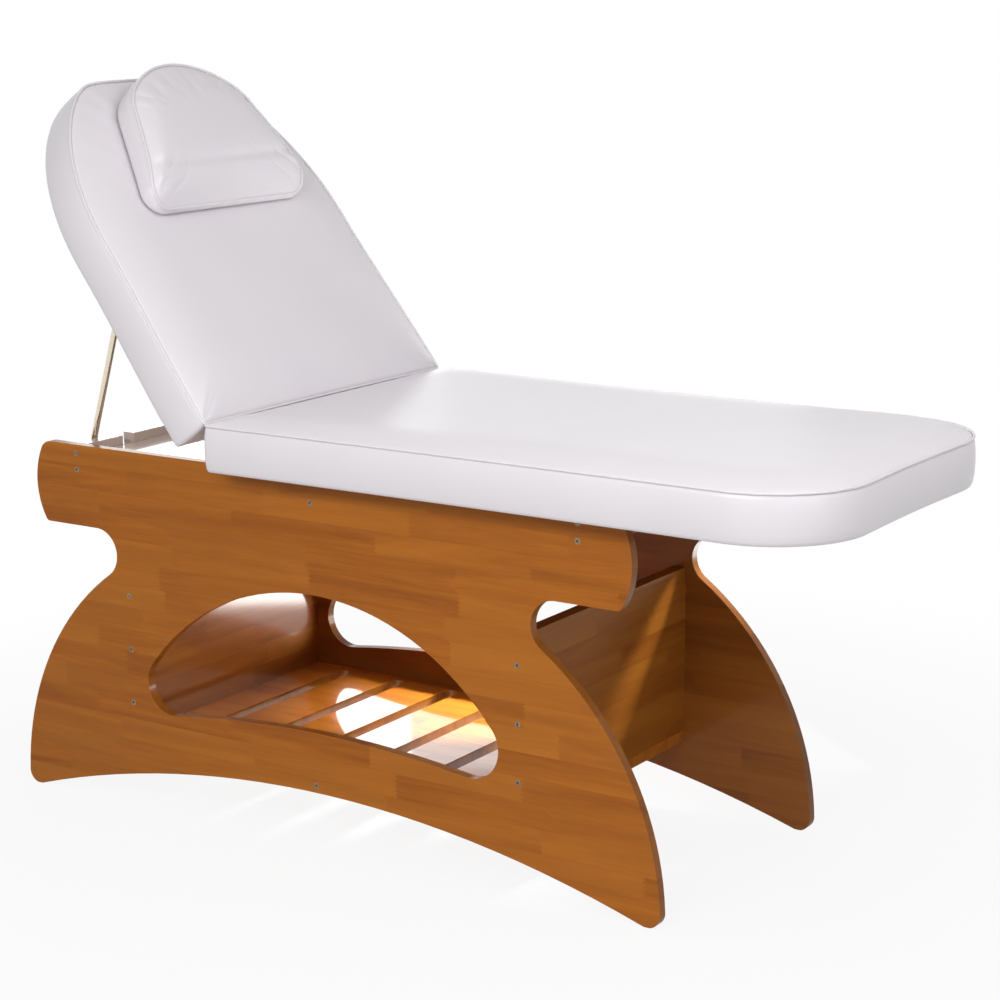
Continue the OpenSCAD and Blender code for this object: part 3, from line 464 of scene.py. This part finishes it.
# The screws' dull dark brown is painted shade of the counterbores they sit in
screw_metal_painted_shade = plated_steel("zinc_screw_painted_shade", "#5a4a3c", "#a8957e", 0.30, (900.0, 900.0, 900.0))
leaf_metal = plated_steel("zinc_plated_sheet", "#b9b5ad", "#e6e1d8", 0.30, (60.0, 900.0, 900.0))
SCREWS = (
    "panel_screws", "shelf_screws", "platform_screws", "seat_bracket_screws",
    "hinge_seat_screws", "hinge_back_screws", "rack_screws", "prop_bracket_screws",
)
SHEETS = ("seat_brackets", "hinge_seat_leaves", "hinge_back_leaves", "prop_brackets")
for node in (*SCREWS, "hinge_pins", *SHEETS):
    dress(nodes[node], leaf_metal if node in SHEETS else screw_metal_painted_shade)
    broken_edges(node, 0.0004)


# Boards, foam and linings inside the cushions
# Birch plywood, open-cell foam, and a grey woven lining stapled underneath.
def birch_ply():
    """Raw birch plywood: pale, with soft long grain, and layers that show at its edges."""
    made, tree, shader = material("raw_birch_plywood")
    place = add(tree, "TexCoord", {}, {}).outputs["Object"]
    stretched = add(tree, "Mapping", {}, {0: place, "Scale": (4.0, 60.0, 700.0)})
    grain = add(
        tree, "TexNoise", {}, {"Vector": stretched.outputs[0], "Scale": 1.0, "Detail": 4.0}
    )
    tone = add(
        tree, "Mix", {"data_type": "RGBA"},
        {0: grain.outputs["Fac"], 6: linear("#b58f5c"), 7: linear("#dcc096")},
    )
    tree.links.new(tone.outputs[2], shader.inputs["Base Color"])
    shader.inputs["Roughness"].default_value = 0.65
    return made


def cut_foam():
    """Cut polyurethane foam: matt cream, with open cells a millimetre across."""
    made, tree, shader = material("polyurethane_foam")
    place = add(tree, "TexCoord", {}, {}).outputs["Object"]
    cells = add(tree, "TexVoronoi", {}, {"Vector": place, "Scale": 900.0})
    tone = add(
        tree, "Mix", {"data_type": "RGBA"},
        {0: cells.outputs["Distance"], 6: linear("#d9cc9c"), 7: linear("#efe6c4")},
    )
    tree.links.new(tone.outputs[2], shader.inputs["Base Color"])
    dents = add(
        tree, "Bump", {},
        {"Strength": 0.5, "Distance": 0.0006, "Height": cells.outputs["Distance"]},
    )
    tree.links.new(dents.outputs[0], shader.inputs["Normal"])
    shader.inputs["Roughness"].default_value = 0.95
    return made


# Metres between threads, and between the bands of a wave texture of scale 1
THREAD, WAVE = 0.0022, 0.314


def woven(name, dark, light):
    """Plain-woven lining cloth. Its threads are drawn 2.2 mm apart, coarser than real, so
    that they show."""
    made, tree, shader = material(name)
    place = add(tree, "TexCoord", {}, {}).outputs["Object"]
    warp, weft = (
        add(
            tree, "TexWave", {"bands_direction": axis},
            {"Vector": place, "Scale": WAVE / THREAD, "Distortion": 0.4, "Detail": 1.0},
        )
        for axis in "XY"
    )
    weave = add(
        tree, "Math", {"operation": "MAXIMUM"}, {0: warp.outputs["Fac"], 1: weft.outputs["Fac"]}
    )
    tone = add(
        tree, "Mix", {"data_type": "RGBA"}, {0: weave.outputs[0], 6: linear(dark), 7: linear(light)}
    )
    tree.links.new(tone.outputs[2], shader.inputs["Base Color"])
    threads = add(
        tree, "Bump", {}, {"Strength": 0.5, "Distance": 0.0004, "Height": weave.outputs[0]}
    )
    tree.links.new(threads.outputs[0], shader.inputs["Normal"])
    shader.inputs["Roughness"].default_value = 0.9
    return made


ply, foam, lining = birch_ply(), cut_foam(), woven("woven_lining", "#8f8c8a", "#bdbab7")
for made, filling in (
    (ply, ("seat_board", "backrest_board")),
    (foam, ("seat_foam", "backrest_foam", "pillow_foam")),
    (lining, ("seat_lining", "backrest_lining", "pillow_back")),
):
    for node in filling:
        dress(nodes[node], made)


# Seat cushion
# Foam on plywood under white upholstery vinyl: a top panel and a side band, sewn together
# over a thin piping, pulled down and folded under the board.
def vinyl(name, colour, shade):
    """Upholstery vinyl: satin white with a fine leather grain, pressed about 1.5 mm wide."""
    made, tree, shader = material(name)
    place = add(tree, "TexCoord", {}, {}).outputs["Object"]
    pebbles = add(
        tree, "TexVoronoi", {"feature": "SMOOTH_F1"},
        {"Vector": place, "Scale": 620.0, "Smoothness": 0.6},
    )
    creases = add(tree, "TexNoise", {}, {"Vector": place, "Scale": 260.0, "Detail": 4.0})
    grain = add(
        tree, "Math", {"operation": "MULTIPLY_ADD"},
        {0: creases.outputs["Fac"], 1: 0.6, 2: pebbles.outputs["Distance"]},
    )
    relief = add(
        tree, "Bump", {}, {"Strength": 0.10, "Distance": 0.0005, "Height": grain.outputs[0]}
    )
    tree.links.new(relief.outputs[0], shader.inputs["Normal"])
    clouds = add(tree, "TexNoise", {}, {"Vector": place, "Scale": 6.0, "Detail": 3.0})
    tone = add(
        tree, "Mix", {"data_type": "RGBA"},
        {0: clouds.outputs["Fac"], 6: linear(colour), 7: linear(shade)},
    )
    tree.links.new(tone.outputs[2], shader.inputs["Base Color"])
    gloss = add(tree, "MapRange", {}, {0: creases.outputs["Fac"], 3: 0.26, 4: 0.38})
    tree.links.new(gloss.outputs[0], shader.inputs["Roughness"])
    shader.inputs["Specular IOR Level"].default_value = 0.5
    return made


white_vinyl = vinyl("white_upholstery_vinyl", "#e6e1e5", "#e0dbe0")
SEAT_Z, SEAT_SEAM = 0.668, 0.748
SEAT_X0, SEAT_X1, BED_HALF = -0.165 + SHIFT, 0.991 + SHIFT, 0.35
FOOT_R, HINGE_R, SIDE_DRAW, END_DRAW = 0.165, 0.008, 0.004, 0.001


def arc(cx, cy, r, a0, a1, n):
    """Points along an arc, in degrees, both ends included."""
    angles = [math.radians(a0 + (a1 - a0) * i / n) for i in range(n + 1)]
    return [(cx + r * math.cos(a), cy + r * math.sin(a)) for a in angles]


def bowed(a, b, bow, n):
    """Points between two corners, pulled in by a bow at the middle; the corners are left out."""
    dx, dy = b[0] - a[0], b[1] - a[1]
    long = math.hypot(dx, dy)
    points = []
    for i in range(1, n + 1):
        t = i / (n + 1)
        pull = bow * math.sin(math.pi * t)
        points.append((a[0] + dx * t - dy / long * pull, a[1] + dy * t + dx / long * pull))
    return points


def eased(r, inset):
    """A small corner's radius, which softens again where an outline is drawn in."""
    return max(r - inset, 0.4 * inset)


def seat_line(inset):
    """The seat's outline, drawn in by an inset, anticlockwise from above."""
    r, f, w = eased(HINGE_R, inset), FOOT_R - inset, BED_HALF - inset
    x0, x1 = SEAT_X0 + inset, SEAT_X1 - inset
    rear_r = arc(x0 + r, r - w, r, 180, 270, 6)
    foot_r = arc(x1 - f, f - w, f, 270, 360, 22)
    foot_l = arc(x1 - f, w - f, f, 0, 90, 22)
    rear_l = arc(x0 + r, w - r, r, 90, 180, 6)
    return (
        rear_r + bowed(rear_r[-1], foot_r[0], SIDE_DRAW, 63)
        + foot_r + bowed(foot_r[-1], foot_l[0], SIDE_DRAW, 25)
        + foot_l + bowed(foot_l[-1], rear_l[0], SIDE_DRAW, 63)
        + rear_l + bowed(rear_l[-1], rear_r[0], END_DRAW, 43)
    )


# Profile of a cushion from its fold under the board to the piped seam, and over the crown:
# inset, and height as a share of the band, then of the crown
BAND = [
    (0.0280, 0.012), (0.0280, -0.010), (0.0120, -0.010), (0.0060, -0.004), (0.0028, 0.020),
    (0.0008, 0.08), (-0.0012, 0.25), (-0.0020, 0.48), (-0.0016, 0.72), (-0.0004, 0.88),
    (0.0010, 0.955), (0.0028, 0.985), (0.0046, 1.005),
]
CROWN = [
    (0.0062, 0.16), (0.0090, 0.30), (0.0140, 0.45), (0.0220, 0.60), (0.0340, 0.74),
    (0.0500, 0.85), (0.0700, 0.93), (0.0920, 0.975),
]
PUCKER, PUCKER_REACH = 0.0007, 0.055


def pucker(u):
    """Uneven gathers along a seam, u in metres along it, from -1 to 1."""
    short = math.sin(95 * u + 1.7 * math.sin(23 * u))
    return 0.5 * short + 0.5 * math.sin(151 * u + 0.8 + 2.1 * math.sin(31 * u))


def ring_lengths(points):
    """Distance along a closed line at each of its points."""
    far = [0.0]
    for a, b in zip(points, points[1:]):
        far.append(far[-1] + math.dist(a, b))
    return far


def cushion_rings(line, z0, seam, crown, spine, steps):
    """Rings of points over a cushion's fold, side and crown, and on in to its spine."""
    far = ring_lengths(line(0.0))
    rings = [[(x, y, z0 + (seam - z0) * share) for x, y in line(inset)] for inset, share in BAND]
    for inset, share in CROWN:
        z, gather = seam + crown * share, PUCKER * max(0.0, 1 - inset / PUCKER_REACH)
        rings.append([(x, y, z + gather * pucker(u)) for (x, y), u in zip(line(inset), far)])
    last, rim = rings[-1], CROWN[-1][1]
    for step in range(1, steps + 1):
        t = step / steps
        z = seam + crown * (rim + (1 - rim) * math.sin(t * math.pi / 2))
        ring = []
        for x, y, _ in last:
            sx = min(max(x, spine[0]), spine[1])
            ring.append((sx + (x - sx) * (1 - t), y * (1 - t), z))
        rings.append(ring)
    return rings


def smooth_mesh(name, verts, faces, weld=0.0):
    """A smooth shaded mesh with its faces turned outwards, and welded where a weld is given."""
    mesh = bpy.data.meshes.new(name)
    mesh.from_pydata(verts, [], faces)
    form = bmesh.new()
    form.from_mesh(mesh)
    if weld:
        bmesh.ops.remove_doubles(form, verts=form.verts, dist=weld)
        bmesh.ops.dissolve_degenerate(form, edges=form.edges, dist=weld / 2)
    bmesh.ops.recalc_face_normals(form, faces=form.faces)
    form.to_mesh(mesh)
    form.free()
    mesh.polygons.foreach_set("use_smooth", [True] * len(mesh.polygons))
    return mesh


def skin_mesh(name, rings):
    """A closed mesh over rings of equally many points, capped below and closed on its spine."""
    n = len(rings[0])
    faces = []
    for i in range(len(rings) - 1):
        for j in range(n):
            k = (j + 1) % n
            faces.append([i * n + j, i * n + k, (i + 1) * n + k, (i + 1) * n + j])
    faces.append(list(range(n - 1, -1, -1)))
    return smooth_mesh(name, [p for ring in rings for p in ring], faces, 2 * WELD)


PLUMP, PRESSURE, STEPS = 0.0045, 4.0, 20


def plumped(mesh, held):
    """Fills a cover as foam does: cloth under pressure, held where it is sewn or stapled.
    The foam keeps any point from going further than PLUMP."""
    bag = bpy.data.objects.new("plumping", mesh.copy())
    bpy.context.scene.collection.objects.link(bag)
    sewn_down = [vert.index for vert in mesh.vertices if held(*vert.co)]
    bag.vertex_groups.new(name="held").add(sewn_down, 1.0, "REPLACE")
    cloth = bag.modifiers.new("cloth", "CLOTH")
    cloth.point_cache.frame_start, cloth.point_cache.frame_end = 1, STEPS
    cloth.collision_settings.use_collision = False
    skin = cloth.settings
    skin.quality, skin.mass = 4, 0.3
    skin.tension_stiffness = skin.compression_stiffness = 15.0
    skin.bending_stiffness = 0.5
    skin.use_pressure, skin.uniform_pressure_force = True, PRESSURE
    skin.vertex_group_mass = "held"
    skin.effector_weights.gravity = 0.0
    for step in range(1, STEPS + 1):
        bpy.context.scene.frame_set(step)
    filled = bag.evaluated_get(bpy.context.evaluated_depsgraph_get()).to_mesh()
    for vert, moved in zip(mesh.vertices, filled.vertices):
        shift = moved.co - vert.co
        vert.co += shift * (math.tanh(shift.length / PLUMP) * PLUMP / max(shift.length, 1e-9))
    bpy.data.objects.remove(bag)
    bpy.context.scene.frame_set(1)
    mesh.update()
    return mesh


FOLD_HELD, HELD_BELOW, HELD_ABOVE = 0.003, 0.004, 0.0038


def sewn(z0, seam):
    """True near a cushion's fold and on its piped seam."""
    return lambda x, y, z: z < z0 + FOLD_HELD or seam - HELD_BELOW < z < seam + HELD_ABOVE


PIPING_R, PIPING_IN, PIPING_UP, PIPING_WAVE = 0.0023, 0.0014, 0.0008, 0.0003


def piping_line(line, seam):
    """Where a cushion's piping runs: on the seam, a little uneven."""
    path = zip(line(PIPING_IN), ring_lengths(line(0.0)))
    return [(x, y, seam + PIPING_UP + PIPING_WAVE * pucker(1.3 * u)) for (x, y), u in path]


def tube_mesh(name, line, radius, sides=10):
    """A closed round cord along a closed line of points."""
    count = len(line)
    verts, faces = [], []
    for i, point in enumerate(line):
        here, after = i * sides, (i + 1) % count * sides
        ahead = (Vector(line[(i + 1) % count]) - Vector(line[i - 1])).normalized()
        side = ahead.cross(Vector((0, 0, 1))).normalized()
        up = side.cross(ahead)
        for k in range(sides):
            a = 2 * math.pi * k / sides
            verts.append(Vector(point) + side * math.cos(a) * radius + up * math.sin(a) * radius)
            j = (k + 1) % sides
            faces.append([here + k, here + j, after + j, after + k])
    return smooth_mesh(name, verts, faces)


HINGES_HALF, ROLL_FADE = 0.235, 0.04
ROLL_DEPTH, ROLL_OUT = 0.06, 0.004


def rolled(mesh):
    """Rolls the seat's corners beside the hinges out towards the backrest."""
    for vert in mesh.vertices:
        near = max(0.0, 1 - abs(vert.co.x - SEAT_X0) / ROLL_DEPTH)
        free = min(1.0, max(0.0, (abs(vert.co.y) - HINGES_HALF) / ROLL_FADE))
        vert.co.x -= ROLL_OUT * near * free * free * (3 - 2 * free)
    return mesh


# Without the filling the crown itself is higher
CROWN_H = 0.0145
SEAT_SPINE = (SEAT_X0 + BED_HALF, SEAT_X1 - BED_HALF)
seat_rings = cushion_rings(seat_line, SEAT_Z, SEAT_SEAM, CROWN_H, SEAT_SPINE, 16)
seat_mesh = plumped(rolled(skin_mesh("seat_cover", seat_rings)), sewn(SEAT_Z, SEAT_SEAM))
seat = show("seat_cover", seat_mesh, "base", white_vinyl, ("seat_cushion",))
pipe_mesh = rolled(tube_mesh("seat_piping", piping_line(seat_line, SEAT_SEAM), PIPING_R))
show("seat_piping", pipe_mesh, "base", white_vinyl)

# Backrest cushion
# Made as the seat is, narrower towards its elliptical head end, and turned up on its hinges.
PIVOT = Vector((-0.171 + SHIFT, 0.0, 0.740))
TILT = 53.0
RAISED = (
    Matrix.Translation(PIVOT)
    @ Matrix.Rotation(math.radians(TILT), 4, "Y")
    @ Matrix.Translation(-PIVOT)
)
BACK_X, BACK_L, BACK_SIDE_L, BACK_TAPER = -0.177 + SHIFT, 0.699, 0.367, 0.013
HEAD_L, HEAD_SOFT = 0.375, 0.009
BACK_Z, BACK_SEAM = 0.6685, 0.7485


def back_half(s, inset):
    """Half width of the backrest's straight part at a distance from its lower edge."""
    return BED_HALF - inset - BACK_TAPER * (1 - math.cos(math.pi * s / BACK_SIDE_L)) / 2


def back_line(inset):
    """The flat-lying backrest's outline, drawn in by an inset, anticlockwise from above."""
    r, w, x0 = eased(HINGE_R, inset), BED_HALF - inset, BACK_X - inset
    a, b, end = HEAD_L - inset, back_half(BACK_SIDE_L, inset), BACK_L - BACK_SIDE_L - inset
    head = []
    for i in range(73):
        out = a * math.sin(math.pi * i / 72)
        cut = out - HEAD_SOFT * math.log(1 + math.exp((out - end) / HEAD_SOFT))
        head.append((BACK_X - BACK_SIDE_L - cut, b * math.cos(math.pi * i / 72)))
    reach = BACK_SIDE_L - inset - r
    side = []
    for i in range(1, 28):
        up = reach * i / 28
        side.append((BACK_X - BACK_SIDE_L + up, back_half(BACK_SIDE_L - up, inset)))
    low_r, low_l = arc(x0 - r, r - w, r, 270, 360, 6), arc(x0 - r, w - r, r, 0, 90, 6)
    low = low_r + bowed(low_r[-1], low_l[0], END_DRAW, 43) + low_l
    return head + [(x, -y) for x, y in side] + low + side[::-1]


BACK_SPINE = (BACK_X - BACK_L + BED_HALF, BACK_X - BED_HALF)
back_rings = cushion_rings(back_line, BACK_Z, BACK_SEAM, CROWN_H, BACK_SPINE, 16)
back_mesh = plumped(skin_mesh("backrest_cover", back_rings), sewn(BACK_Z, BACK_SEAM))
back_mesh.transform(RAISED)
backrest = show(
    "backrest_cover", back_mesh, "backrest", white_vinyl, ("backrest_cushion",)
)
pipe_mesh = tube_mesh("backrest_piping", piping_line(back_line, BACK_SEAM), PIPING_R)
pipe_mesh.transform(RAISED)
show("backrest_piping", pipe_mesh, "backrest", white_vinyl)

# Racks and prop
# Two notched strips of hardwood under the backrest, and a bail of plated round bar that seats
# in a notch and turns in two brackets on the head rail.
RACK_TONES = ("#7a3d14", "#96541c", "#a05f24")
rack_wood = rubberwood("stained_hardwood_rack", LYING, *RACK_TONES, (0.3, 0.12, 1.5), 10.0)
dress(nodes["prop_racks"], rack_wood)
broken_edges("prop_racks", 0.0008)
bail_metal = plated_steel("plated_round_bar", "#dccbb2", "#f0e6d6", 0.22, (700.0, 700.0, 30.0))
bail = nodes["prop_bail"]
dress(bail, bail_metal)
bail.data.polygons.foreach_set("use_smooth", [True] * len(bail.data.polygons))


# Pillow
# A small foam pillow in the same vinyl: flat back, side band, piped face that is fullest at
# the neck. It holds by hook and loop strips.
PILLOW_S, PILLOW_L, PILLOW_W, PILLOW_TOP_W = 0.398, 0.282, 0.424, 0.332
PILLOW_LOW_R, PILLOW_TOP_R, PILLOW_ARCH = 0.035, 0.093, 0.026
PILLOW_Z, PILLOW_T, PILLOW_LOW_T, PILLOW_RAMP = 0.7702, 0.050, 0.014, 0.045


def pillow_line(inset):
    """The pillow's outline on the flat backrest, drawn in by an inset, anticlockwise from
    above."""
    x0, x1 = BACK_X - PILLOW_S - inset, BACK_X - PILLOW_S - PILLOW_L + inset
    r0, r1 = eased(PILLOW_LOW_R, inset), PILLOW_TOP_R - inset
    c0 = (x0 - r0, PILLOW_W / 2 - inset - r0)
    c1 = (x1 + PILLOW_ARCH + r1, PILLOW_TOP_W / 2 - inset - r1)
    top_r = ((PILLOW_ARCH + r1) ** 2 + c1[1] ** 2 - r1**2) / (2 * PILLOW_ARCH)
    away = (c1[0] - c0[0], c1[1] - c0[1])
    lean = math.atan2(away[1], away[0]) - math.acos((r0 - r1) / math.hypot(*away))
    side_a = 360 + math.degrees(lean)
    top_a = 180 - math.degrees(math.atan2(c1[1], top_r - PILLOW_ARCH - r1))
    low, high = arc(*c0, r0, 0, side_a, 14), arc(*c1, r1, side_a, top_a, 12)
    top = arc(x1 + top_r, 0.0, top_r, top_a, 180, 14)[1:]
    half = low + bowed(low[-1], high[0], 0.0, 12) + high + top
    back = [(x, -y) for x, y in half[-2::-1]]
    return half + back + bowed(back[-1], half[0], 0.0, 36)


def pillow_rise(x):
    """Height of the pillow's band: low at the neck, and soon rising."""
    rise = math.exp((x - BACK_X + PILLOW_S) / PILLOW_RAMP)
    return PILLOW_T - (PILLOW_T - PILLOW_LOW_T) * rise


# Profile of the pillow's back and band: inset, and height as a share of the band
PILLOW_BAND = [
    (0.020, 0.0), (0.005, 0.0), (0.0022, 0.03), (0.0004, 0.12), (-0.0012, 0.35),
    (-0.0014, 0.65), (-0.0004, 0.86), (0.0012, 0.95), (0.0030, 0.985), (0.0044, 1.005),
]
PILLOW_CROWN, PILLOW_RIM, PILLOW_RINGS, PILLOW_PUCKER = 0.016, 0.030, 34, 0.0005
FACE_MIDDLE, FACE_START = 0.52, 0.0002
RIDGE_S, EDGE_SWELL = 0.463, 0.35


def pillow_rings():
    """Rings of points over the pillow: back, band and face."""
    far = ring_lengths(pillow_line(0.0))
    rings = []
    for inset, share in PILLOW_BAND:
        ring = [(x, y, PILLOW_Z + pillow_rise(x) * share) for x, y in pillow_line(inset)]
        rings.append(ring)
    middle = BACK_X - PILLOW_S - FACE_MIDDLE * PILLOW_L
    edge = pillow_line(PILLOW_BAND[-1][0])
    for step in range(1, PILLOW_RINGS + 1):
        t = (step / PILLOW_RINGS) ** 1.25
        ring = []
        for (x, y), u in zip(edge, far):
            px, py = middle + (x - middle) * (1 - t), y * (1 - t)
            inset = t * math.hypot(x - middle, y)
            s = BACK_X - px
            rim = 1 - (1 - min(1.0, inset / PILLOW_RIM)) ** 2.2
            if s < RIDGE_S:
                near = (s - PILLOW_S) / (RIDGE_S - PILLOW_S)
                swell = EDGE_SWELL + (1 - EDGE_SWELL) * near
            else:
                past = (s - RIDGE_S) / (PILLOW_S + PILLOW_L - RIDGE_S)
                swell = 1.0 - EDGE_SWELL * past**1.5
            gather = PILLOW_PUCKER * max(0.0, 1 - inset / PILLOW_RIM) * pucker(u)
            base = PILLOW_Z + pillow_rise(px) + FACE_START
            ring.append((px, py, base + PILLOW_CROWN * rim * swell + gather))
        rings.append(ring)
    return rings


BACK_HELD, PILLOW_BELOW, PILLOW_ABOVE = 0.002, 0.003, 0.0015


def pillow_sewn(x, y, z):
    """True at the pillow's back and on its piped seam."""
    seam = PILLOW_Z + pillow_rise(x)
    return z < PILLOW_Z + BACK_HELD or seam - PILLOW_BELOW < z < seam + PILLOW_ABOVE


CREASE_S, CREASE_DEPTH, CREASE_HALF, ROLL_H = 0.470, 0.0045, 0.007, 0.003
FOLD_START, FOLD_FADE = 0.001, 0.008


def creased(mesh):
    """Folds the face softly above the neck roll, and rounds the roll itself."""
    for vert in mesh.vertices:
        s = BACK_X - vert.co.x
        over = vert.co.z - PILLOW_Z - pillow_rise(vert.co.x) - FOLD_START
        high = min(1.0, max(0.0, over / FOLD_FADE))
        fold = CREASE_DEPTH * math.exp(-(((s - CREASE_S) / CREASE_HALF) ** 2))
        neck = min(1.0, max(0.0, (s - PILLOW_S) / (CREASE_S - PILLOW_S)))
        vert.co.z += high * (ROLL_H * math.sin(math.pi * neck) - fold)
    return mesh


pillow_mesh = creased(plumped(skin_mesh("pillow_cover", pillow_rings()), pillow_sewn))
pillow_mesh.transform(RAISED)
pillow = show(
    "pillow_cover", pillow_mesh, "pillow", white_vinyl, ("pillow_cushion",)
)
pillow_seam = [
    (x, y, z + PILLOW_Z + pillow_rise(x)) for x, y, z in piping_line(pillow_line, 0.0)
]
pipe_mesh = tube_mesh("pillow_piping", pillow_seam, PIPING_R)
pipe_mesh.transform(RAISED)
show("pillow_piping", pipe_mesh, "pillow", white_vinyl)
strip_cloth = woven("hook_and_loop_strip", "#b9b7b5", "#dedcda")
for node in ("loop_strips", "hook_strips"):
    dress(nodes[node], strip_cloth)
